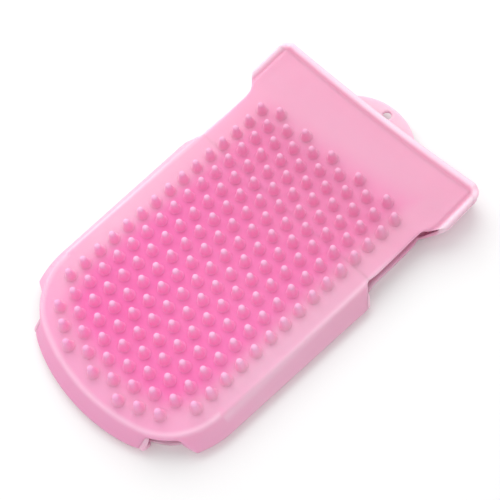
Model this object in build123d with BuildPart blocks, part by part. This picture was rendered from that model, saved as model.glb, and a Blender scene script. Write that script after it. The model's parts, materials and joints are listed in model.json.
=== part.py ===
"""Silicone grooming mitt with massage nubs, thumb openings, drain slots and a hanging tab.

Frame: millimetres, +Z up out of the nub face, +Y from the fingertips to the mouth, +X to the
wearer's right when the nub face is seen from above.  The origin is the middle of the footprint,
on the surface that the mitt rests on.
"""

from build123d import *
from math import atan2, degrees, sqrt
import os

os.makedirs("parts", exist_ok=True)

# Overall size
tip_y = -106.5
mouth_y = 95.5

# Heights above the resting surface
sheet = 2.0
back_top = 2.0
rim_z = 4.0
face_top = 12.0
face_bottom = face_top - sheet

# Hand outline at the rim: a broad fingertip arc with a rounded corner tangent to it on each side
jamb_half = 64.5
corner_half = 62.0
corner_radius = 40.0
tip_radius = 105.0
corner_x = corner_half - corner_radius
corner_drop = sqrt((tip_radius - corner_radius) ** 2 - corner_x**2)
corner_y = tip_y + tip_radius - corner_drop
join_angle = degrees(atan2(corner_drop, corner_x))

# The front wall leans in by as much as it rises, the shallow back wall leans in further
front_lean = face_top - rim_z
back_lean = 6.0
wall_level_width = 2.8

# Thumb openings, one on each side, with slanted ends
neck_half = 57.7
opening_end_margin = 2.0
opening_low = (neck_half - opening_end_margin, 28.0)
opening_low_outer = (jamb_half + opening_end_margin, 18.8)
jamb_bead_radius = 1.6
jamb_bead_spot = (62.6, 21.2)
jamb_bead_top = 6.0

# Drain slots at both fingertip corners, between the side wall's end and a post
slot_face_start = (50.9, -84.8)
slot_face_finish = (39.7, -92.8)
slot_side_end = (58.5, -82.4)
post_radius = 2.0
post_spot = (41.4, -97.2)
post_top = 9.0

# Flex lines: the wedge gap is narrow at the nub face and wide at the back
knuckle_y = -30.55
neck_y = 45.95
gap_at_face = 0.3
knuckle_gap_at_back = 1.5
neck_gap_at_back = 2.0

# Cuff, drawn in its own plane, which tilts up about the neck flex line
cuff_tilt = 4.0
cuff_half = 66.0
cuff_inner_jamb = 15.0
cuff_outer_jamb = 25.0
cuff_length = mouth_y - neck_y
cuff_corner = 6.0
cuff_wall = 2.0
cuff_edge_drop = 4.0
cuff_back_half = 59.0
cuff_back_seam = 58.1
cuff_lean_top = 3.3
lip_width = 3.4
lip_rise = 2.2
back_lip_rise = 1.2
ridge_width = 2.4
ridge_rise = 1.4

# Hanging tab on the back of the cuff
tab_half = 22.5
tab_root_gap = 0.3
tab_root_radius = sheet / 2
tab_length = 9.0
hang_hole_radius = 2.2
hang_hole_from_apex = 5.4

# Nubs: staggered columns
pitch = 9.0
field_datum_y = 3.2
nub_height = 7.0
nub_base_radius = 2.2
nub_tip_radius = 1.5
side_columns = 5
odd_column_start = -6.0
even_column_start = -6.5
column_finish = {0: 10.5, 1: 10.0, 2: 10.5, 3: 10.0, 4: 9.5, 5: 8.0}

far = 150.0
cuff_plane = Plane((0, neck_y, face_top)).rotated((cuff_tilt, 0, 0))


def save(piece, name):
    piece.part.label = name
    export_step(piece.part, f"parts/{name}.step")


def mirrored(points, side):
    return [(side * x, y) for x, y in points]


def rectangle(low_x, high_x, low_y, high_y):
    return [(low_x, low_y), (high_x, low_y), (high_x, high_y), (low_x, high_y)]


def polygon(plane, points):
    """Closed straight-sided outline on a plane."""
    with BuildSketch(plane) as outline:
        with BuildLine():
            Polyline(*points, close=True)
        make_face()
    return outline.sketch


def hand_outline(height, inset=0.0):
    """Hand outline at a height, moved in by an inset."""
    half_start = jamb_half - inset
    half_finish = corner_half - inset
    with BuildSketch(Plane.XY.offset(height)) as outline:
        with BuildLine():
            Polyline(
                (-half_finish, corner_y),
                (-half_start, opening_low_outer[1]),
                (-half_start, mouth_y),
                (half_start, mouth_y),
                (half_start, opening_low_outer[1]),
                (half_finish, corner_y),
            )
            CenterArc((corner_x, corner_y), corner_radius - inset, 0, -join_angle)
            CenterArc((-corner_x, corner_y), corner_radius - inset, 180, join_angle)
            tip_centre = (0, tip_y + tip_radius)
            CenterArc(tip_centre, tip_radius - inset, -join_angle, 2 * join_angle - 180)
        make_face()
    return outline.sketch


def hand_ring(low, high, low_inset, high_inset):
    """Ring between two heights whose outer and inner faces lean in together."""
    outer = [hand_outline(low, low_inset), hand_outline(high, high_inset)]
    inner = [
        hand_outline(low, low_inset + wall_level_width),
        hand_outline(high, high_inset + wall_level_width),
    ]
    loft(outer, ruled=True)
    loft(inner, ruled=True, mode=Mode.SUBTRACT)


def keep_section(low_y, low_gap, high_y, high_gap):
    """Keep what lies between two wedge-shaped flex gaps."""
    points = [
        (low_y + low_gap, 0),
        (low_y + gap_at_face, face_top),
        (low_y + gap_at_face, far),
        (high_y - gap_at_face, far),
        (high_y - gap_at_face, face_top),
        (high_y - high_gap, 0),
    ]
    extrude(polygon(Plane.YZ, points), amount=far, both=True, mode=Mode.INTERSECT)


def keep_fingers():
    keep_section(-far, 0, knuckle_y, knuckle_gap_at_back)


def keep_palm():
    keep_section(knuckle_y, knuckle_gap_at_back, neck_y, neck_gap_at_back)


def keep_plan(points):
    """Keep what lies inside a plan polygon."""
    extrude(polygon(Plane.XY, points), amount=face_top, mode=Mode.INTERSECT)


def cut_slot(side):
    """Cut one fingertip corner back to the straight inner edge of its drain slot."""
    corner = [
        slot_side_end,
        slot_face_start,
        slot_face_finish,
        (slot_face_finish[0], -far),
        (far, -far),
        (far, slot_side_end[1]),
    ]
    extrude(polygon(Plane.XY, mirrored(corner, side)), amount=face_top, mode=Mode.SUBTRACT)


def cut_round(x, y, radius):
    """Make room for a bead that stands in the end of a wall."""
    with Locations((x, y, 0)):
        Cylinder(radius, 2 * face_top, mode=Mode.SUBTRACT)


def hand_panel(bottom, inset):
    """Flat panel of the hand, inside the line where its walls start."""
    extrude(hand_outline(bottom, inset), amount=sheet)


def front_wall():
    """Wall that leans out from the face panel down to the rim."""
    hand_ring(rim_z, face_top, 0, front_lean)
    extrude(hand_outline(0, front_lean), amount=face_top, mode=Mode.SUBTRACT)


def back_wall():
    """Shallow wall from the rim down and in to the back panel."""
    hand_ring(0, rim_z, back_lean, 0)
    extrude(hand_outline(0, back_lean), amount=rim_z, mode=Mode.SUBTRACT)


finger_wall_zone = rectangle(slot_face_finish[0], far, -far, 0)
fingertip_zone = rectangle(-slot_face_finish[0], slot_face_finish[0], -far, 0)
palm_wall_zone = [
    (0, -far),
    (far, -far),
    (far, opening_low_outer[1]),
    opening_low_outer,
    opening_low,
    (0, opening_low[1]),
]


def build_hand_panels():
    with BuildPart() as finger_face_panel:
        hand_panel(face_bottom, front_lean)
        keep_fingers()
    save(finger_face_panel, "finger_face_panel")

    with BuildPart() as finger_back_panel:
        hand_panel(0, back_lean)
        cut_slot(-1)
        cut_slot(1)
        keep_fingers()
    save(finger_back_panel, "finger_back_panel")

    with BuildPart() as palm_face_panel:
        hand_panel(face_bottom, front_lean)
        keep_palm()
    save(palm_face_panel, "palm_face_panel")

    with BuildPart() as palm_back_panel:
        hand_panel(0, back_lean)
        keep_palm()
    save(palm_back_panel, "palm_back_panel")


def build_hand_walls():
    for side, word in ((-1, "left"), (1, "right")):
        with BuildPart() as finger_front_wall:
            front_wall()
            keep_plan(mirrored(finger_wall_zone, side))
            cut_slot(side)
            keep_fingers()
        save(finger_front_wall, f"finger_front_wall_{word}")

        with BuildPart() as finger_back_wall:
            back_wall()
            keep_plan(mirrored(finger_wall_zone, side))
            cut_slot(side)
            keep_fingers()
        save(finger_back_wall, f"finger_back_wall_{word}")

        with BuildPart() as palm_front_wall:
            front_wall()
            keep_plan(mirrored(palm_wall_zone, side))
            cut_round(side * jamb_bead_spot[0], jamb_bead_spot[1], jamb_bead_radius)
            keep_palm()
        save(palm_front_wall, f"palm_front_wall_{word}")

        with BuildPart() as palm_back_wall:
            back_wall()
            keep_plan(mirrored(palm_wall_zone, side))
            cut_round(side * jamb_bead_spot[0], jamb_bead_spot[1], jamb_bead_radius)
            keep_palm()
        save(palm_back_wall, f"palm_back_wall_{word}")

    with BuildPart() as fingertip_front_wall:
        front_wall()
        keep_plan(fingertip_zone)
        cut_round(-post_spot[0], post_spot[1], post_radius)
        cut_round(post_spot[0], post_spot[1], post_radius)
    save(fingertip_front_wall, "fingertip_front_wall")

    with BuildPart() as fingertip_back_wall:
        back_wall()
        keep_plan(fingertip_zone)
        cut_round(-post_spot[0], post_spot[1], post_radius)
        cut_round(post_spot[0], post_spot[1], post_radius)
    save(fingertip_back_wall, "fingertip_back_wall")


def cuff_sheet(bottom, thickness):
    """Sheet of the cuff's outline: narrow neck, slanted jambs, rounded mouth corners."""
    corner_x = cuff_half - cuff_corner
    with BuildSketch(cuff_plane.offset(bottom)) as outline:
        with BuildLine():
            Line((-neck_half, gap_at_face), (neck_half, gap_at_face))
            for side in (-1, 1):
                Polyline(
                    (side * neck_half, gap_at_face),
                    (side * neck_half, cuff_inner_jamb),
                    (side * cuff_half, cuff_outer_jamb),
                    (side * cuff_half, cuff_length - cuff_corner),
                )
                RadiusArc(
                    (side * cuff_half, cuff_length - cuff_corner),
                    (side * corner_x, cuff_length),
                    side * -cuff_corner,
                )
            Line((-corner_x, cuff_length), (corner_x, cuff_length))
        make_face()
    extrude(outline.sketch, amount=thickness)


def keep_cuff_plan(low_x, high_x, low_y, high_y):
    """Keep what lies inside a rectangle of the cuff's plane."""
    points = rectangle(low_x, high_x, low_y, high_y)
    below = cuff_plane.offset(-face_top - sheet)
    extrude(polygon(below, points), amount=2 * face_top, mode=Mode.INTERSECT)


def cuff_side_section(side):
    """Section of a cuff side: upright under the edge, then leaning in to the back panel."""
    points = [
        (cuff_half - cuff_wall, -sheet),
        (cuff_half, -sheet),
        (cuff_half, -cuff_edge_drop),
        (cuff_back_half, -face_top),
        (cuff_back_seam, -face_top),
        (cuff_back_seam, sheet - face_top),
        (cuff_half - cuff_wall, -cuff_lean_top),
    ]
    return mirrored(points, side)


def keep_cuff_section(points):
    """Keep what lies inside a section drawn across the cuff's width."""
    across = Plane(cuff_plane.origin, x_dir=cuff_plane.x_dir, z_dir=-cuff_plane.y_dir)
    extrude(polygon(across, points), amount=-far, mode=Mode.INTERSECT)


def build_cuff():
    mouth_start = cuff_length - lip_width
    with BuildPart() as cuff_face_panel:
        cuff_sheet(-sheet, sheet)
    save(cuff_face_panel, "cuff_face_panel")

    with BuildPart() as cuff_back_panel:
        cuff_sheet(-face_top, sheet)
        keep_cuff_plan(-cuff_back_seam, cuff_back_seam, neck_gap_at_back, far)
    save(cuff_back_panel, "cuff_back_panel")

    with BuildPart() as mouth_front_lip:
        cuff_sheet(0, lip_rise)
        keep_cuff_plan(-far, far, mouth_start, far)
    save(mouth_front_lip, "mouth_front_lip")

    with BuildPart() as mouth_back_lip:
        cuff_sheet(-face_top - back_lip_rise, back_lip_rise)
        keep_cuff_plan(-cuff_back_seam, cuff_back_seam, mouth_start, far)
    save(mouth_back_lip, "mouth_back_lip")

    for side, word in ((-1, "left"), (1, "right")):
        outer = side * far
        with BuildPart() as cuff_side_wall:
            cuff_sheet(-face_top, face_bottom)
            keep_cuff_plan(0, outer, cuff_outer_jamb, far)
            keep_cuff_section(cuff_side_section(side))
        save(cuff_side_wall, f"cuff_side_wall_{word}")

        with BuildPart() as cuff_side_ridge:
            cuff_sheet(0, ridge_rise)
            inner = side * (cuff_half - ridge_width)
            keep_cuff_plan(inner, outer, cuff_outer_jamb, mouth_start)
        save(cuff_side_ridge, f"cuff_side_ridge_{word}")


def build_tab():
    root = cuff_length + tab_root_gap + tab_root_radius
    apex = root + tab_length
    with BuildPart(cuff_plane) as hang_tab:
        with BuildSketch(cuff_plane.offset(-face_top)):
            with BuildLine():
                Line((-tab_half, root), (tab_half, root))
                ThreePointArc((-tab_half, root), (0, apex), (tab_half, root))
            make_face()
            with Locations((0, apex - hang_hole_from_apex)):
                Circle(hang_hole_radius, mode=Mode.SUBTRACT)
        extrude(amount=sheet)
        with Locations((0, root, tab_root_radius - face_top)):
            Cylinder(tab_root_radius, 2 * tab_half, rotation=(0, 90, 0))
    save(hang_tab, "hang_tab")


def build_beads():
    for side, word in ((-1, "left"), (1, "right")):
        with BuildPart() as drain_post:
            with BuildSketch(Plane.XY.offset(back_top)):
                with Locations((side * post_spot[0], post_spot[1])):
                    Circle(post_radius)
            extrude(amount=post_top - back_top)
        save(drain_post, f"drain_post_{word}")

        with BuildPart() as jamb_bead:
            with BuildSketch(Plane.XY.offset(back_top)):
                with Locations((side * jamb_bead_spot[0], jamb_bead_spot[1])):
                    Circle(jamb_bead_radius)
            extrude(amount=jamb_bead_top - back_top)
        save(jamb_bead, f"thumb_jamb_bead_{word}")


def nub_spots():
    """Nub centres in plan: every other column is set half a pitch along."""
    spots = []
    for column in range(-side_columns, side_columns + 1):
        step = odd_column_start if column % 2 else even_column_start
        while step <= column_finish[abs(column)]:
            spots.append((column * pitch, field_datum_y - step * pitch))
            step += 1
    return spots


def build_nubs():
    straight = nub_height - nub_tip_radius
    with BuildPart() as nub:
        with BuildSketch(Plane.XZ):
            with BuildLine():
                Polyline((0, nub_height), (0, 0), (nub_base_radius, 0), (nub_tip_radius, straight))
                RadiusArc((nub_tip_radius, straight), (0, nub_height), -nub_tip_radius)
            make_face()
        revolve(axis=Axis.Z)

    face = Plane.XY.offset(face_top)
    sections = {
        "finger_nubs": (face, [s for s in nub_spots() if s[1] < knuckle_y]),
        "palm_nubs": (face, [s for s in nub_spots() if knuckle_y < s[1] < neck_y]),
        "cuff_nubs": (cuff_plane, [(x, y - neck_y) for x, y in nub_spots() if y > neck_y]),
    }
    for name, (plane, spots) in sections.items():
        with BuildPart(plane) as nub_group:
            with Locations(*spots):
                add(nub.part)
        save(nub_group, name)


build_hand_panels()
build_hand_walls()
build_cuff()
build_tab()
build_beads()
build_nubs()
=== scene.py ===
"""Silicone grooming mitt: moulded skins, nubs, tab, beads, materials, floor, light and camera.

The shapes are worked out in millimetres with the cuff laid flat, then bent up at the neck flex
line and written to meshes in metres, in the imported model's frame.
"""

import json
import math

import bpy
import numpy as np
from mathutils import Matrix, Vector


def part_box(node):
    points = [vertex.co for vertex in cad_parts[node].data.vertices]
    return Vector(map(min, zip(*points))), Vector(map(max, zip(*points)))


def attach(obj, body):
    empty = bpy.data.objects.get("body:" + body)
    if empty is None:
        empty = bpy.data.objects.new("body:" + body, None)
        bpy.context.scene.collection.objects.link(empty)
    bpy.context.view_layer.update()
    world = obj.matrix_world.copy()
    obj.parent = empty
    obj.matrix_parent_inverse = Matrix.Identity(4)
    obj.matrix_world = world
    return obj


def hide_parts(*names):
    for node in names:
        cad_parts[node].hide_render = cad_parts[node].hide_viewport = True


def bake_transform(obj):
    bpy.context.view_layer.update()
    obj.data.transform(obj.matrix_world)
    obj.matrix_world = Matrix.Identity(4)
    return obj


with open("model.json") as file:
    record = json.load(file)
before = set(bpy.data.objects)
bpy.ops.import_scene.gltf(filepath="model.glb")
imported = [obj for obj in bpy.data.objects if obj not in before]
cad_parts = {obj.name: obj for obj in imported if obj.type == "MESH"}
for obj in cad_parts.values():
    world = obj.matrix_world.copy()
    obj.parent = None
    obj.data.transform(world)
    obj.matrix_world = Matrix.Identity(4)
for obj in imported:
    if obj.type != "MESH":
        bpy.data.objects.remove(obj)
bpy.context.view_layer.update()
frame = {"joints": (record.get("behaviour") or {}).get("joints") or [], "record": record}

MM = 0.001


def node_box(name):
    """Lowest and highest corner of a CAD node, in millimetres."""
    low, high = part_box(name)
    return np.array(low) / MM, np.array(high) / MM


def joint_spot(name):
    """A joint's position in millimetres."""
    joint = next(j for j in frame["joints"] if j["name"] == name)
    return np.array(joint["pos_m"]) / MM


# ---------------------------------------------------------------- dimensions from the frame

knuckle_y = joint_spot("knuckle_flex")[1]
neck_y = joint_spot("neck_flex")[1]
face_top = node_box("palm_face_panel")[1][2]
shoulder_half = node_box("palm_face_panel")[1][0]
rim_half = node_box("palm_front_wall_right")[1][0]
opening_low = node_box("palm_front_wall_right")[1][1]
tip_y = node_box("fingertip_front_wall")[0][1]
sheet = face_top - node_box("palm_face_panel")[0][2]
cuff_high = node_box("cuff_face_panel")[1]
cuff_tilt = math.atan2(cuff_high[2] - face_top, cuff_high[1] - neck_y)
cuff_length = (cuff_high[1] - neck_y) / math.cos(cuff_tilt)
mouth_y = neck_y + cuff_length
cuff_half = cuff_high[0]
post_low, post_high = node_box("drain_post_right")
bead_low, bead_high = node_box("thumb_jamb_bead_right")

# ---------------------------------------------------------------- moulded shape

lean = rim_half - shoulder_half
taper = 2.5
rim_corner_radius = 40.0
rim_tip_radius = 105.0
centres_apart = rim_tip_radius - rim_corner_radius
corner_radius = rim_corner_radius - lean
tip_radius = rim_tip_radius - lean
corner_x = rim_half - taper - rim_corner_radius
tip_centre = tip_y + rim_tip_radius
corner_y = tip_centre - math.sqrt(centres_apart**2 - corner_x**2)
join_x = corner_x + corner_radius * corner_x / centres_apart
taper_end = 18.8
cuff_inner_jamb = 15.0
flare_before = 3.0
flare_after = 6.0
cuff_outer_edge = 6.0
slot_slant = 9.0
slot_lean_start = 3.0
slot_spread = 2.0
jamb_reach = 24.0
mouth_round_reach = 20.0
low_jamb_slant = 0.95
high_jamb_slant = 1.11
cuff_shoulder = cuff_half - cuff_outer_edge
opening_high = neck_y + cuff_inner_jamb
lip_width = 4.6
lip_rise = 1.7
lip_corner_radius = 7.0
back_lip_rise = 1.2
face_sag = 2.6
mouth_sag = 1.5
mouth_corner_rise = 1.0
mouth_corner_radius = 6.5

# Sections of the wall from the shoulder, over the rim, to the back panel: distance outward
# from the shoulder line and height above the back, outer skin then inner skin
hand_outer = [
    (0, 11.9), (0.8, 12.1), (1.7, 11.7), (3, 10.1), (5, 7.7), (7, 5.4), (7.9, 4.6), (8.2, 4),
    (7.6, 3.4), (6.5, 2.6), (4.5, 1.2), (2.8, 0.3), (2.2, 0),
]
hand_inner = [
    (-0.6, 10.05), (-0.35, 9.98), (0.2, 9.6), (1.6, 8.3), (3.5, 6.3), (5.2, 4.5), (5.6, 4.1),
    (5.8, 3.9), (5.6, 3.7), (5.2, 3.4), (3.6, 2.6), (2.5, 2.1), (2, 2),
]
cuff_outer = [
    (0, 12.35), (0.7, 12.15), (1.5, 11.6), (2.5, 11.3), (3.6, 11.4), (4.6, 11.5), (5.4, 11.3),
    (6, 10.5), (6, 9.2), (4.8, 6.8), (2.6, 4.3), (0.4, 1.6), (-1, 0),
]
cuff_inner = [
    (-0.4, 10.3), (0.1, 10.1), (0.8, 9.5), (1.8, 9.1), (2.7, 9.3), (3.4, 9.8), (3.8, 9.9),
    (4, 9.7), (4, 9), (3.2, 7.7), (1.2, 5.4), (-0.8, 2.9), (-1.8, 2),
]
neck_outer = [(0, 12), (1.2, 11.7)] + hand_outer[2:12] + [(1.2, 0)]
neck_inner = [(-0.2, 10.05), (1.0, 10.0)] + hand_inner[2:12] + [(1.0, 2)]
last_ring = len(hand_outer) - 1
rim_ring = 7
slot_ring = 3

# Grid of the front and back panels
columns = 38
patch_corner_angle = 45.0
corner_rows = 12
slot_angle = 37.5
slot_finish_x = 37.5
straight_from = -20.0


def smoothstep(value, low, high):
    t = np.clip((value - low) / (high - low), 0, 1)
    return t * t * (3 - 2 * t)


def edge_distance(x, y):
    """Distance in from the cuff's outline, which has rounded mouth corners."""
    dx = abs(x) - (cuff_half - lip_corner_radius)
    dy = y - (mouth_y - lip_corner_radius)
    outside = math.hypot(max(dx, 0.0), max(dy, 0.0)) + min(max(dx, dy), 0.0)
    return lip_corner_radius - outside


def lip_bump(x, y):
    """Rounded lip that runs up the cuff's sides and across its mouth, from 0 to 1."""
    inward = edge_distance(x, y) / lip_width
    rise = 1 - smoothstep(inward, 0.45, 1.0)
    crown = 0.62 + 0.38 * smoothstep(inward, 0.0, 0.35)
    return rise * crown * smoothstep(y, opening_high, opening_high + flare_after)


def back_lip_bump(y):
    """Rounded lip across the back of the mouth, from 0 to 1."""
    inward = (mouth_y - y) / lip_width
    return (1 - smoothstep(inward, 0.4, 0.9)) * (0.6 + 0.4 * smoothstep(inward, 0.0, 0.3))


def face_height(x, y):
    """Height of the nub face before the cuff is bent up."""
    across = np.clip(1 - (x / shoulder_half) ** 2, 0, 1) ** 1.5
    along = smoothstep(y, tip_y + lean, -60.0) * (1 - 0.5 * smoothstep(y, 40.0, 75.0))
    return face_top - face_sag * across * along + mouth_curve(x, y)


def mouth_curve(x, y):
    """The mouth's front edge sags in the middle and lifts at its corners."""
    share = np.clip(np.abs(x) / cuff_half, 0, 1) ** 2
    return smoothstep(y, 68.0, mouth_y) * (share * (mouth_sag + mouth_corner_rise) - mouth_sag)


def bend_cuff(points):
    """Turn everything beyond the neck flex line up by the cuff's tilt."""
    angle = cuff_tilt * smoothstep(points[:, 1], neck_y - 9.0, neck_y + 9.0)
    y = points[:, 1] - neck_y
    z = points[:, 2] - face_top
    bent = points.copy()
    bent[:, 1] = neck_y + y * np.cos(angle) - z * np.sin(angle)
    bent[:, 2] = face_top + y * np.sin(angle) + z * np.cos(angle)
    return bent


def make_rows():
    """Places on the shoulder line of the right side, from the patch corner up to the mouth."""
    rows = []
    for step in range(corner_rows):
        angle = math.radians(patch_corner_angle * (1 - step / corner_rows))
        normal = (math.cos(angle), -math.sin(angle))
        rows.append((corner_x + corner_radius * normal[0], corner_y + corner_radius * normal[1], normal))
    straight = list(np.linspace(corner_y, opening_low, 31))
    straight += list(np.linspace(opening_low, opening_high, 12)[1:])
    straight += list(np.linspace(opening_high, mouth_y - lip_width, 11)[1:])
    straight += [mouth_y - lip_width * (1 - share) for share in (0.14, 0.3, 0.5, 0.7, 0.86, 1.0)]
    narrow = shoulder_half - taper
    for y in straight:
        x = narrow + taper * min(1.0, (y - corner_y) / (taper_end - corner_y))
        x += (cuff_shoulder - shoulder_half) * smoothstep(
            y, opening_high - flare_before, opening_high + flare_after
        )
        rows.append((x, y, (1.0, 0.0)))
    return rows


rows = make_rows()
row_x = np.array([r[0] for r in rows])
row_y = np.array([r[1] for r in rows])
last_row = len(rows) - 1
row_open_low = int(np.argmin(np.abs(row_y - opening_low)))
row_open_high = int(np.argmin(np.abs(row_y - opening_high)))
row_lip = int(np.argmin(np.abs(row_y - (mouth_y - lip_width))))
row_slot = round(corner_rows * (1 - slot_angle / patch_corner_angle))


def tip_curve(x):
    """The shoulder line round the fingertips: y at a given x."""
    x = abs(x)
    if x < join_x:
        return tip_centre - math.sqrt(tip_radius**2 - x**2)
    return corner_y - math.sqrt(corner_radius**2 - (x - corner_x) ** 2)


def tip_normal(x):
    centre = (0.0, tip_centre) if abs(x) < join_x else (math.copysign(corner_x, x), corner_y)
    away = np.array([x - centre[0], tip_curve(x) - centre[1]])
    return away / np.linalg.norm(away)


def grid_point(i, j, grow=0.0):
    """Plan place of a panel's grid point; grow moves the panel's edge outward."""
    s = 2 * j / columns - 1
    pull = 1 - smoothstep(row_y[i], row_y[0], straight_from)
    drop = row_y[0] - tip_curve(s * row_x[0])
    x = s * (row_x[i] + grow)
    y = row_y[i] - pull * (drop + grow)
    return x, y


perimeter = [(i, 0) for i in range(last_row, -1, -1)]
perimeter += [(0, j) for j in range(1, columns)]
perimeter += [(i, columns) for i in range(last_row + 1)]


def perimeter_normal(i, j):
    if 0 < j < columns:
        return tip_normal((2 * j / columns - 1) * row_x[0])
    side = -1 if j == 0 else 1
    return np.array([side * rows[i][2][0], rows[i][2][1]])


def section(i, inner):
    if i <= row_open_low:
        return hand_inner if inner else hand_outer
    if i >= row_open_high:
        return cuff_inner if inner else cuff_outer
    return neck_inner if inner else neck_outer


def jamb_shift(y, outward):
    """The ends of the side walls slant away from the thumb opening; the mouth corners are round."""
    outward = max(outward, 0.0)
    near_low = max(0.0, 1 - (opening_low - y) / jamb_reach) ** 2 if y <= opening_low + 0.01 else 0.0
    near_high = max(0.0, 1 - (y - opening_high) / jamb_reach) ** 2 if y >= opening_high - 0.01 else 0.0
    near_mouth = max(0.0, 1 - (mouth_y - y) / mouth_round_reach) ** 2
    over = min(max(outward - (cuff_outer_edge - mouth_corner_radius), 0.0), mouth_corner_radius)
    rounding = mouth_corner_radius - math.sqrt(mouth_corner_radius**2 - over**2)
    slant = high_jamb_slant * near_high - low_jamb_slant * near_low
    return outward * slant - rounding * near_mouth


def slot_end_shift(i, j, outward):
    """The drain slots widen outward: how far a wall's end leans along the outline."""
    share = max(0.0, outward - slot_lean_start) / (lean - slot_lean_start)
    if 0 < j < columns:
        x = (2 * j / columns - 1) * row_x[0]
        near_slot = min(1.0, abs(x) / slot_finish_x) ** 4
        return np.array([-slot_spread * math.copysign(share, x) * near_slot, 0.0])
    side = -1 if j == 0 else 1
    angle = patch_corner_angle * max(0.0, 1 - i / corner_rows)
    reach = math.radians(slot_slant) * share * min(1.0, angle / slot_angle) ** 1.5
    along = np.array([-side * rows[i][2][1], abs(rows[i][2][0])])
    return along * reach * (corner_radius + outward)


def wall_point(p, k, inner):
    """A point of the wall: perimeter place p, section place k."""
    i, j = perimeter[p]
    x, y = grid_point(i, j)
    outward, z = section(i, inner)[k]
    outward_skin = section(i, False)[k][0]
    normal = perimeter_normal(i, j)
    x += normal[0] * outward
    y += normal[1] * outward
    if j in (0, columns):
        y += jamb_shift(row_y[i], outward_skin)
    lean_x, lean_y = slot_end_shift(i, j, outward_skin)
    x += lean_x
    y += lean_y
    if not inner and i >= row_open_high:
        if k <= rim_ring:
            z += lip_rise * lip_bump(x, y)
        elif k >= last_ring - 1:
            z -= back_lip_rise * back_lip_bump(row_y[i])
    z += mouth_curve(x, row_y[i]) * np.clip(z / face_top, 0, 1)
    return x, y, z


def front_point(i, j, inner):
    x, y = grid_point(i, j)
    z = face_height(x, y)
    lip = lip_rise * lip_bump(x, y)
    return x, y, z - sheet if inner else z + lip


def back_point(i, j, inner):
    x, y = grid_point(i, j, grow=hand_outer[-1][0])
    lip = back_lip_rise * back_lip_bump(row_y[i])
    return x, y, sheet if inner else -lip


# ---------------------------------------------------------------- skins

HAND_FRONT, HAND_BACK, CUFF_FRONT, CUFF_BACK, MOUTH = range(5)


def build_skin_points():
    """Numbered points of one skin: the front grid, the wall rings, the back grid."""
    number = {}
    spots = []

    def add(key, outer, inner):
        number[key] = len(spots)
        spots.append((outer, inner))

    edge = {place: p for p, place in enumerate(perimeter)}
    for i in range(last_row + 1):
        for j in range(columns + 1):
            if (i, j) in edge:
                p = edge[(i, j)]
                add(("front", i, j), wall_point(p, 0, False), wall_point(p, 0, True))
                add(("back", i, j), wall_point(p, last_ring, False), wall_point(p, last_ring, True))
            else:
                add(("front", i, j), front_point(i, j, False), front_point(i, j, True))
                add(("back", i, j), back_point(i, j, False), back_point(i, j, True))
    for p in range(len(perimeter)):
        for k in range(1, last_ring):
            add(("wall", p, k), wall_point(p, k, False), wall_point(p, k, True))
    return number, spots


def is_open(p, k):
    """True where the wall between perimeter places p and p + 1 is missing."""
    (i0, j0), (i1, j1) = perimeter[p], perimeter[p + 1]
    low, high = sorted((i0, i1))
    if j0 == j1 and low >= row_open_low and high <= row_open_high:
        return k >= 1
    if k < slot_ring:
        return False
    if j0 == j1:
        return high <= row_slot
    return min(abs(2 * j / columns - 1) * row_x[0] for j in (j0, j1)) >= slot_finish_x - 0.6


def build_skin_faces(number):
    """Quads of one skin, each with the piece that it belongs to."""
    faces = []

    def piece_of(row, front):
        if row >= row_lip:
            return MOUTH
        if row >= row_open_low:
            return CUFF_FRONT if front else CUFF_BACK
        return HAND_FRONT if front else HAND_BACK

    for i in range(last_row):
        for j in range(columns):
            a, b, c, d = ((i, j), (i, j + 1), (i + 1, j + 1), (i + 1, j))
            faces.append(([number[("front", *q)] for q in (a, b, c, d)], piece_of(i, True)))
            faces.append(([number[("back", *q)] for q in (a, d, c, b)], piece_of(i, False)))

    def ring_point(p, k):
        if k == 0:
            return number[("front", *perimeter[p])]
        if k == last_ring:
            return number[("back", *perimeter[p])]
        return number[("wall", p, k)]

    for p in range(len(perimeter) - 1):
        row = min(perimeter[p][0], perimeter[p + 1][0])
        for k in range(last_ring):
            if not is_open(p, k):
                corners = [(p + 1, k), (p, k), (p, k + 1), (p + 1, k + 1)]
                faces.append(([ring_point(*q) for q in corners], piece_of(row, k < rim_ring)))
    return faces


def close_skins(faces, count):
    """Outer and inner skin, joined by a rim along every free edge."""
    owner = {}
    for quad, piece in faces:
        for a, b in zip(quad, quad[1:] + quad[:1]):
            owner[(a, b)] = piece
    closed = list(faces)
    closed += [([v + count for v in reversed(quad)], piece) for quad, piece in faces]
    for (a, b), piece in owner.items():
        if (b, a) not in owner:
            closed.append(([b, a, a + count, b + count], piece))
    return closed


def mesh_from(name, points, faces):
    """A smooth mesh in metres from points in millimetres."""
    mesh = bpy.data.meshes.new(name)
    mesh.from_pydata([tuple(MM * c for c in p) for p in points], [], faces)
    mesh.validate()
    mesh.shade_smooth()
    return mesh


def put(name, mesh):
    piece = bpy.data.objects.new(name, mesh)
    bpy.context.scene.collection.objects.link(piece)
    return piece


def subdivided(mesh, levels=1):
    """The mesh after subdivision, as new mesh data."""
    holder = put("holder", mesh)
    modifier = holder.modifiers.new("Subdivision", "SUBSURF")
    modifier.levels = levels
    modifier.render_levels = levels
    graph = bpy.context.evaluated_depsgraph_get()
    result = bpy.data.meshes.new_from_object(holder.evaluated_get(graph))
    bpy.data.objects.remove(holder)
    return result


def points_of(mesh):
    flat = np.empty(len(mesh.vertices) * 3)
    mesh.vertices.foreach_get("co", flat)
    return flat.reshape(-1, 3) / MM


def paint(mesh, name, values):
    """Store one number per point for a material to read."""
    attribute = mesh.attributes.new(name, "FLOAT", "POINT")
    attribute.data.foreach_set("value", np.asarray(values, np.float32))


# Strength and width of the painted highlight along the hand's shoulder line.
shoulder_highlight = 0.5
shoulder_reach = 1.8


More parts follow.
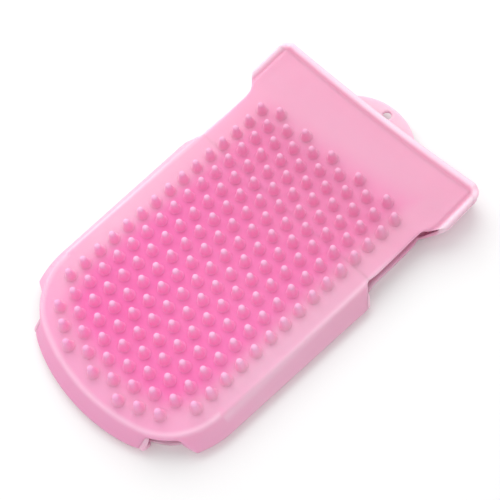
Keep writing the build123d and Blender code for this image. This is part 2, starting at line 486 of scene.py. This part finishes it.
def past_shoulder(points):
    """Distance outside the hand's shoulder line, negative over the nub field."""
    x, y = np.abs(points[:, 0]), points[:, 1]
    away = np.hypot(np.maximum(x - corner_x, 0), np.minimum(y - corner_y, 0))
    corner = away - corner_radius
    tip = np.hypot(x, y - tip_centre) - tip_radius
    side = x - shoulder_half
    return np.where(y < corner_y, np.where(x < join_x, tip, corner), side)


def rim_glow_share(points):
    """0 in the nub field, rising to 1 at the rim and over the cuff: painted light shining through the
    thinner silicone, starting nearer the hand on the -X side of the cuff.
    """
    sides = smoothstep(past_shoulder(points), -21.0, -6.0)
    return np.maximum(sides, smoothstep(points[:, 1] - 0.12 * points[:, 0], 52.0, 74.0))


def crest_highlight_share(points):
    """1 on the crest of the mouth lip and the cuff's side ridges, less on the hand's shoulder line: painted
    highlight along these crests.
    """
    crest = np.array([float(lip_bump(x, y)) for x, y in points[:, :2]])
    shoulder = shoulder_highlight * np.exp(-(((past_shoulder(points) - 0.5) / shoulder_reach) ** 2))
    on_hand = 1 - smoothstep(points[:, 1], opening_low, opening_high)
    return np.maximum(crest, shoulder * on_hand)


def build_skins():
    number, spots = build_skin_points()
    outer = [s[0] for s in spots]
    inner = [s[1] for s in spots]
    tagged = close_skins(build_skin_faces(number), len(spots))
    used = sorted({v for quad, _ in tagged for v in quad})
    renumber = {v: n for n, v in enumerate(used)}
    every = outer + inner
    mesh = mesh_from("skins", [every[v] for v in used], [[renumber[v] for v in q] for q, _ in tagged])
    mesh.polygons.foreach_set("material_index", [piece for _, piece in tagged])
    fine = subdivided(mesh)
    flat = points_of(fine)
    bent = bend_cuff(flat)
    tags = np.empty(len(fine.polygons), np.int32)
    fine.polygons.foreach_get("material_index", tags)
    quads = [tuple(polygon.vertices) for polygon in fine.polygons]
    margin = rim_glow_share(flat)
    lip = crest_highlight_share(flat)
    made = {}
    names = {
        HAND_FRONT: "hand_nub_side_skin",
        HAND_BACK: "hand_back_skin",
        CUFF_FRONT: "cuff_nub_side_skin",
        CUFF_BACK: "cuff_back_skin",
        MOUTH: "mouth_lip",
    }
    for tag, name in names.items():
        own = [quads[n] for n in np.flatnonzero(tags == tag)]
        kept = sorted({v for quad in own for v in quad})
        place = {v: n for n, v in enumerate(kept)}
        part = mesh_from(name, bent[kept], [[place[v] for v in quad] for quad in own])
        # The margin share carries painted light shining through the thin walls; the lip share carries the
        # painted highlight on the crests.
        paint(part, "margin", margin[kept])
        paint(part, "lip", lip[kept])
        made[tag] = put(name, part)
    return made


skins = build_skins()

# ---------------------------------------------------------------- nubs

pitch = 9.0
field_datum = 3.2
nub_height = node_box("palm_nubs")[1][2] - face_top
side_columns = 5
odd_start = -6.0
even_start = -6.5
column_finish = {0: 10.5, 1: 10.0, 2: 10.5, 3: 10.0, 4: 9.5, 5: 8.0}
nub_sides = 20
nub_section = [(3.5, -0.35), (2.95, 0.12), (2.5, 0.62), (2.25, 1.3), (2.02, 2.6), (1.8, 4.0), (1.62, 5.2)]
dome_start = (1.55, 5.6)
dome_steps = 4


def nub_spots():
    spots = []
    for column in range(-side_columns, side_columns + 1):
        step = odd_start if column % 2 else even_start
        while step <= column_finish[abs(column)]:
            spots.append((column * pitch, field_datum - step * pitch))
            step += 1
    return spots


def nub_profile():
    """Flared foot, slim cone and domed tip, as radius and height."""
    radius, base = dome_start
    profile = list(nub_section)
    for step in range(dome_steps):
        angle = math.pi / 2 * step / dome_steps
        profile.append((radius * math.cos(angle), base + (nub_height - base) * math.sin(angle)))
    return profile


def build_nub_field(name, spots):
    profile = nub_profile()
    points, faces, tip = [], [], []
    for x, y in spots:
        start = len(points)
        height = face_height(x, y)
        slope_x = float(face_height(x + 0.5, y) - face_height(x - 0.5, y))
        slope_y = float(face_height(x, y + 0.5) - face_height(x, y - 0.5))
        up = Vector((-slope_x, -slope_y, 1)).normalized()
        turn = Vector((0, 0, 1)).rotation_difference(up).to_matrix()
        for radius, rise in profile:
            for n in range(nub_sides):
                angle = 2 * math.pi * n / nub_sides
                local = turn @ Vector((radius * math.cos(angle), radius * math.sin(angle), rise))
                points.append((x + local.x, y + local.y, height + local.z))
                tip.append(rise / nub_height)
        top = turn @ Vector((0, 0, nub_height))
        points.append((x + top.x, y + top.y, height + top.z))
        tip.append(1.0)
        for ring in range(len(profile) - 1):
            for n in range(nub_sides):
                low = start + ring * nub_sides
                right = (n + 1) % nub_sides
                faces.append((low + n, low + right, low + nub_sides + right, low + nub_sides + n))
        last = start + (len(profile) - 1) * nub_sides
        for n in range(nub_sides):
            faces.append((last + n, last + (n + 1) % nub_sides, len(points) - 1))
    flat = np.array(points)
    mesh = mesh_from(name, bend_cuff(flat), faces)
    # The tip share feeds the painted highlight on the nub tips; the margin share feeds the painted light
    # shining through the thin silicone.
    paint(mesh, "tip", tip)
    paint(mesh, "margin", rim_glow_share(flat))
    return put(name, mesh)


knuckle_reach = 12.0
neck_reach = 10.0


def bend_step(y):
    """The joint nearest to a place along the mitt, and how far into its bending zone the place is."""
    if y < (knuckle_y + neck_y) / 2:
        return "knuckle_flex", (knuckle_y + knuckle_reach - y) / (2 * knuckle_reach)
    return "neck_flex", (y - neck_y + neck_reach) / (2 * neck_reach)


def group_nubs():
    """Nubs grouped by place: a whole section, or a single row inside a bending zone."""
    sections = {"finger": [], "palm": [], "cuff": []}
    rows_in_zones = {}
    for spot in nub_spots():
        joint, along = bend_step(spot[1])
        if along <= 0:
            sections["palm"].append(spot)
        elif along < 1:
            rows_in_zones.setdefault(round(spot[1], 3), []).append(spot)
        elif joint == "knuckle_flex":
            sections["finger"].append(spot)
        else:
            sections["cuff"].append(spot)
    return sections, rows_in_zones


nub_sections, nub_rows = group_nubs()
nub_fields = {word: build_nub_field(f"{word}_nub_field", spots) for word, spots in nub_sections.items()}
bending_rows = {}
for number, (row_place, spots) in enumerate(sorted(nub_rows.items()), 1):
    bending_rows[row_place] = build_nub_field(f"bending_nub_row_{number}", spots)

# ---------------------------------------------------------------- hanging tab

tab_high = node_box("hang_tab")[1]
hole = next(m for m in frame["record"]["mounts"] if m["name"] == "hang_hole")
hole_centre = np.array(hole["pos_m"]) / MM
hole_radius = hole["dims"]["r_mm"]
tab_half = tab_high[0]
tab_steps = 72
tab_root_overlap = 1.5
tab_root_setback = 1.3
hole_from_apex = 5.4
tab_rings = 6


def cuff_plane_point(x, v, w):
    """A point given along the cuff's own plane (v from the neck line, w up from its face)."""
    c, s = math.cos(cuff_tilt), math.sin(cuff_tilt)
    return x, neck_y + v * c - w * s, face_top + v * s + w * c


def in_cuff_plane(point):
    c, s = math.cos(cuff_tilt), math.sin(cuff_tilt)
    y, z = point[1] - neck_y, point[2] - face_top
    return y * c + z * s, -y * s + z * c


def build_tab():
    """Half-disc with a rounded edge all round and a rounded hole, rooted under the mouth's back lip."""
    hole_v = in_cuff_plane(hole_centre)[0]
    root_v = cuff_length - tab_root_overlap
    apex_v = hole_v + hole_from_apex
    sagitta = apex_v - cuff_length - tab_root_setback
    arc_radius = (tab_half**2 + sagitta**2) / (2 * sagitta)
    centre_v = apex_v - arc_radius

    def reach_to_edge(angle):
        """From the hole's centre to the tab's edge along a direction."""
        dx, dv = math.cos(angle), math.sin(angle)
        offset = hole_v - centre_v
        b = offset * dv
        reach = -b + math.sqrt(b * b - offset * offset + arc_radius * arc_radius)
        if dv < 0:
            reach = min(reach, (root_v - hole_v) / dv)
        if dx:
            reach = min(reach, tab_half / abs(dx))
        return reach

    half = sheet / 2
    middle = half - face_top
    section_turns = [math.pi / 2 * n / 3 for n in range(4)]
    rounding = [(half * (1 - math.cos(a)), half * math.sin(a)) for a in section_turns]
    points, faces = [], []
    for n in range(tab_steps):
        angle = 2 * math.pi * n / tab_steps
        reach = reach_to_edge(angle)
        inner_edge = [(hole_radius + inset, rise) for inset, rise in rounding]
        outer_edge = [(reach - inset, rise) for inset, rise in reversed(rounding)]
        start_r, finish_r = inner_edge[-1][0], outer_edge[0][0]
        flat_part = [
            (start_r + (finish_r - start_r) * m / tab_rings, half) for m in range(1, tab_rings)
        ]
        top = inner_edge + flat_part + outer_edge
        loop = top + [(r, -h) for r, h in reversed(top[1:-1])]
        loop_size = len(loop)
        for r, h in loop:
            x = r * math.cos(angle)
            v = hole_v + r * math.sin(angle)
            points.append(cuff_plane_point(x, v, middle + h))
    for n in range(tab_steps):
        for m in range(loop_size):
            a, b = n * loop_size, ((n + 1) % tab_steps) * loop_size
            after = (m + 1) % loop_size
            faces.append((a + m, a + after, b + after, b + m))
    mesh = mesh_from("moulded_hang_tab", points, faces)
    return put("moulded_hang_tab", mesh)


tab = build_tab()

# ---------------------------------------------------------------- rolled wall ends

bead_sides = 10
bead_body = 1.15
bead_end_share = 0.45
bead_last_ring = 10
jamb_first_ring = 4


def build_wall_end_bead(name, p, first, finish, full):
    """Rolled bead that closes a wall's free end, fullest where it passes the rim."""
    path = [
        (np.array(wall_point(p, k, False)) + np.array(wall_point(p, k, True))) / 2
        for k in range(first, finish + 1)
    ]
    normal = perimeter_normal(*perimeter[p])
    across = Vector((-normal[1], normal[0], 0))
    run_in = path[0] - path[1]
    run_out = path[-1] - path[-2]
    path.insert(0, path[0] + run_in / np.linalg.norm(run_in) * bead_body)
    path.append(path[-1] + run_out / np.linalg.norm(run_out) * bead_body)
    points, faces = [], []
    for n, spot in enumerate(path):
        before, after = path[max(n - 1, 0)], path[min(n + 1, len(path) - 1)]
        along = Vector(after - before).normalized()
        outward = across.cross(along)
        share = 1 - min(1.0, abs(n - 1 - (rim_ring - first)) / (rim_ring - first))
        radius = bead_body + (full - bead_body) * share**0.6
        if n in (0, len(path) - 1):
            radius *= bead_end_share
        for m in range(bead_sides):
            angle = 2 * math.pi * m / bead_sides
            away = across * math.cos(angle) + outward * math.sin(angle)
            points.append(tuple(Vector(spot) + away * radius))
    for n in range(len(path) - 1):
        for m in range(bead_sides):
            low, right = n * bead_sides, (m + 1) % bead_sides
            faces.append((low + m, low + bead_sides + m, low + bead_sides + right, low + right))
    faces.append(tuple(range(bead_sides)))
    faces.append(tuple(reversed(range(len(points) - bead_sides, len(points)))))
    return put(name, subdivided(mesh_from(name, points, faces)))


def perimeter_place(i, j):
    return perimeter.index((i, j))


beads = {}
slot_column = next(j for j in range(columns) if (1 - 2 * j / columns) * row_x[0] <= slot_finish_x + 0.6)
post_radius = (post_high[0] - post_low[0]) / 2
bead_radius = (bead_high[0] - bead_low[0]) / 2
for word, column, post_column in (("left", 0, slot_column), ("right", columns, columns - slot_column)):
    beads[f"drain_post_{word}"] = build_wall_end_bead(
        f"rolled_drain_post_{word}", perimeter_place(0, post_column),
        slot_ring, bead_last_ring, post_radius,
    )
    beads[f"thumb_jamb_bead_{word}"] = build_wall_end_bead(
        f"rolled_jamb_bead_{word}", perimeter_place(row_open_low, column),
        jamb_first_ring, bead_last_ring, bead_radius,
    )

# ---------------------------------------------------------------- materials


def linear(red, green, blue):
    """Linear colour from sRGB steps of 0 to 255."""
    shares = (c / 255 for c in (red, green, blue))
    return tuple(s / 12.92 if s <= 0.04045 else ((s + 0.055) / 1.055) ** 2.4 for s in shares) + (1.0,)


class Nodes:
    """Short names for building a node tree."""

    def __init__(self, name):
        self.material = bpy.data.materials.new(name)
        self.material.use_nodes = True
        self.tree = self.material.node_tree
        self.shader = self.tree.nodes["Principled BSDF"]

    def add(self, kind, **settings):
        node = self.tree.nodes.new(kind)
        for key, value in settings.items():
            setattr(node, key, value)
        return node

    def link(self, source, target):
        self.tree.links.new(source, target)

    def noise(self, coordinates, scale, detail=2.0):
        node = self.add("ShaderNodeTexNoise")
        node.inputs["Scale"].default_value = scale
        node.inputs["Detail"].default_value = detail
        self.link(coordinates, node.inputs["Vector"])
        return node.outputs["Fac"]

    def remap(self, value, low, high, to_low, to_high):
        node = self.add("ShaderNodeMapRange")
        for key, number in (("From Min", low), ("From Max", high), ("To Min", to_low), ("To Max", to_high)):
            node.inputs[key].default_value = number
        self.link(value, node.inputs["Value"])
        return node.outputs["Result"]

    def mix(self, share, first, second):
        """Mix two colours, each a constant or a socket."""
        node = self.add("ShaderNodeMix", data_type="RGBA")
        self.link(share, node.inputs["Factor"])
        for socket, colour in ((node.inputs[6], first), (node.inputs[7], second)):
            if isinstance(colour, tuple):
                socket.default_value = colour
            else:
                self.link(colour, socket)
        return node.outputs[2]

    def attribute(self, name):
        return self.add("ShaderNodeAttribute", attribute_name=name).outputs["Fac"]


def silicone(name, field, margin, mouth_tint_and_shade, tip=None, use_margin=True, gloss=0.4, haze=0.5):
    """Translucent moulded silicone: tinted field, paler margin that is painted light shining through the
    thin walls, paler nub tips and crests that are painted highlight, darker toward the mouth as partly
    painted shade and partly a cooler tint, deeper toward the fingertips as painted shade, cloudy tone, fine
    moulded grain.
    """
    n = Nodes(name)
    place = n.add("ShaderNodeTexCoord").outputs["Object"]
    apart = n.add("ShaderNodeSeparateXYZ")
    n.link(place, apart.inputs[0])
    # With the margin share, the paler margin is painted light shining through the thin silicone near the
    # rims and over the cuff; otherwise the tone varies at random.
    colour = n.mix(n.attribute("margin"), field, margin) if use_margin else n.mix(
        n.noise(place, 60.0), margin, field
    )
    # Paler nub tips: painted highlight, light caught on and shining through the thin tips.
    if tip:
        rise = n.remap(n.attribute("tip"), 0.1, 0.95, 0.0, 1.0)
        colour = n.mix(rise, colour, tip)
    # Darker and greyer from mid-hand toward the mouth: partly painted shade of the cuff lifted off the
    # floor, partly a cooler tint.
    toward_mouth = n.remap(apart.outputs["Y"], -0.03, 0.11, 0.0, 0.85)
    colour = n.mix(toward_mouth, colour, mouth_tint_and_shade)
    # Deeper pink toward the fingertips: painted shade at the fingertip end.
    tip_shade_share = n.remap(apart.outputs["Y"], -0.045, -0.11, 0.0, 0.45)
    colour = n.mix(tip_shade_share, colour, field)
    # Paler crests of the mouth lip, cuff ridges and shoulder line: painted highlight.
    if use_margin:
        colour = n.mix(n.remap(n.attribute("lip"), 0.15, 0.9, 0.0, 0.85), colour, crest_highlight_pink)
    cloud = n.remap(n.noise(place, 22.0, 3.0), 0.35, 0.65, 0.0, 0.12)
    colour = n.mix(cloud, colour, margin)
    n.link(colour, n.shader.inputs["Base Color"])
    n.link(n.remap(n.noise(place, 140.0), 0.3, 0.7, gloss, gloss + 0.12), n.shader.inputs["Roughness"])
    bump = n.add("ShaderNodeBump")
    bump.inputs["Strength"].default_value = 0.12
    bump.inputs["Distance"].default_value = 0.0002
    n.link(n.noise(place, 1400.0, 3.0), bump.inputs["Height"])
    n.link(bump.outputs["Normal"], n.shader.inputs["Normal"])
    n.shader.inputs["Subsurface Weight"].default_value = haze
    n.shader.inputs["Subsurface Radius"].default_value = (1.0, 0.6, 0.75)
    n.shader.inputs["Subsurface Scale"].default_value = 0.006
    n.shader.inputs["Specular IOR Level"].default_value = 0.2
    return n.material


field_pink = linear(254, 122, 186)
# Paler pink that the rims are painted toward, as light shining through the thin walls; also the plain colour
# of the back skin and the tab's base tone.
margin_pink = linear(244, 178, 204)
# Darker, greyer pink toward the mouth: partly painted shade, partly a cooler tint.
mouth_tint_and_shade_pink = linear(222, 150, 178)
nub_pink = linear(251, 150, 204)
# Paler pink of the nub tips: painted highlight.
nub_tip_highlight_pink = linear(242, 180, 216)
# Pale pink of the crests: painted highlight.
crest_highlight_pink = linear(253, 216, 230)
edge_pink = linear(247, 200, 216)

face_material = silicone("face_silicone", field_pink, margin_pink, mouth_tint_and_shade_pink)
back_material = silicone("back_silicone", margin_pink, margin_pink, mouth_tint_and_shade_pink)
nub_material = silicone("nub_silicone", nub_pink, margin_pink, mouth_tint_and_shade_pink, tip=nub_tip_highlight_pink, gloss=0.7, haze=0.25)
edge_material = silicone("edge_silicone", margin_pink, edge_pink, edge_pink, use_margin=False)

# ---------------------------------------------------------------- materials, the CAD parts each piece hides, and the bodies some pieces follow


def bend_at(piece):
    """Bake a piece's transform into its mesh."""
    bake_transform(piece)


def finish_piece(piece, material, slot, *nodes):
    piece.data.materials.clear()
    piece.data.materials.append(material)
    if nodes:
        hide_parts(*nodes)


def both(name):
    return [f"{name}_left", f"{name}_right"]


finish_piece(
    skins[HAND_FRONT], face_material, "face_silicone",
    "finger_face_panel", "palm_face_panel", "fingertip_front_wall",
    *both("finger_front_wall"), *both("palm_front_wall"),
)
finish_piece(
    skins[HAND_BACK], back_material, "back_silicone",
    "finger_back_panel", "palm_back_panel", "fingertip_back_wall",
    *both("finger_back_wall"), *both("palm_back_wall"),
)
finish_piece(
    skins[CUFF_FRONT], face_material, "face_silicone", "cuff_face_panel", *both("cuff_side_ridge")
)
finish_piece(
    skins[CUFF_BACK], back_material, "back_silicone", "cuff_back_panel", *both("cuff_side_wall")
)
finish_piece(skins[MOUTH], face_material, "edge_silicone", "mouth_front_lip", "mouth_back_lip")
for word, piece in nub_fields.items():
    finish_piece(piece, nub_material, "nub_silicone", f"{word}_nubs")
for piece in bending_rows.values():
    finish_piece(piece, nub_material, "nub_silicone")
finish_piece(tab, edge_material, "edge_silicone", "hang_tab")
for node, piece in beads.items():
    finish_piece(piece, edge_material, "edge_silicone", node)


def bend_row(piece):
    """Bake the transform of a row of nubs into its mesh."""
    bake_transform(piece)


for piece in (skins[HAND_FRONT], skins[HAND_BACK]):
    bend_at(piece)
for piece in (skins[CUFF_FRONT], skins[CUFF_BACK]):
    bend_at(piece)
for word, piece in nub_fields.items():
    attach(piece, f"{word}_section")
for row_place, piece in bending_rows.items():
    bend_row(piece)
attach(skins[MOUTH], "cuff_section")
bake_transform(tab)
for word in ("left", "right"):
    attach(beads[f"drain_post_{word}"], "finger_section")
    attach(beads[f"thumb_jamb_bead_{word}"], "palm_section")

# ---------------------------------------------------------------- floor, light and camera


def build_floor():
    half, drop = 2.0, -0.0002
    mesh = bpy.data.meshes.new("studio_floor")
    corners = [(-half, -half, drop), (half, -half, drop), (half, half, drop), (-half, half, drop)]
    mesh.from_pydata(corners, [], [(0, 1, 2, 3)])
    floor = put("studio_floor", mesh)
    material = bpy.data.materials.new("pale_floor")
    material.use_nodes = True
    shader = material.node_tree.nodes["Principled BSDF"]
    shader.inputs["Base Color"].default_value = (0.92, 0.92, 0.92, 1)
    shader.inputs["Roughness"].default_value = 0.9
    mesh.materials.append(material)


def add_area(name, place, size, power):
    light = bpy.data.lights.new(name, "AREA")
    light.shape = "DISK"
    light.size = size
    light.energy = power
    lamp = bpy.data.objects.new(name, light)
    bpy.context.scene.collection.objects.link(lamp)
    lamp.location = Vector(place)
    lamp.rotation_mode = "QUATERNION"
    lamp.rotation_quaternion = (-Vector(place)).to_track_quat("-Z", "Y")


def build_world():
    world = bpy.data.worlds.new("studio")
    bpy.context.scene.world = world
    world.use_nodes = True
    background = world.node_tree.nodes["Background"]
    background.inputs["Color"].default_value = (1, 1, 1, 1)
    background.inputs["Strength"].default_value = 0.82


view_angles = (58.75, 64.5, -13.4)
view_target = (6.1, 0.1, 10.0)
view_distance = 403
view_lens = 61.5


def build_camera():
    azimuth, elevation, roll = (math.radians(d) for d in view_angles)
    target = Vector(view_target) * MM
    distance = view_distance * MM
    back = Vector((
        math.sin(azimuth) * math.cos(elevation),
        -math.cos(azimuth) * math.cos(elevation),
        math.sin(elevation),
    ))
    data = bpy.data.cameras.new("camera")
    data.lens = view_lens
    data.clip_start = 0.01
    camera = bpy.data.objects.new("camera", data)
    bpy.context.scene.collection.objects.link(camera)
    camera.location = target + back * distance
    camera.rotation_mode = "QUATERNION"
    facing = (-back).to_track_quat("-Z", "Y")
    camera.rotation_quaternion = facing @ Matrix.Rotation(roll, 3, "Z").to_quaternion()
    bpy.context.scene.camera = camera


build_floor()
build_world()
add_area("key_light", (-0.42, 0.18, 0.50), 0.9, 3.3)
build_camera()
bpy.context.scene.view_settings.view_transform = "Standard"
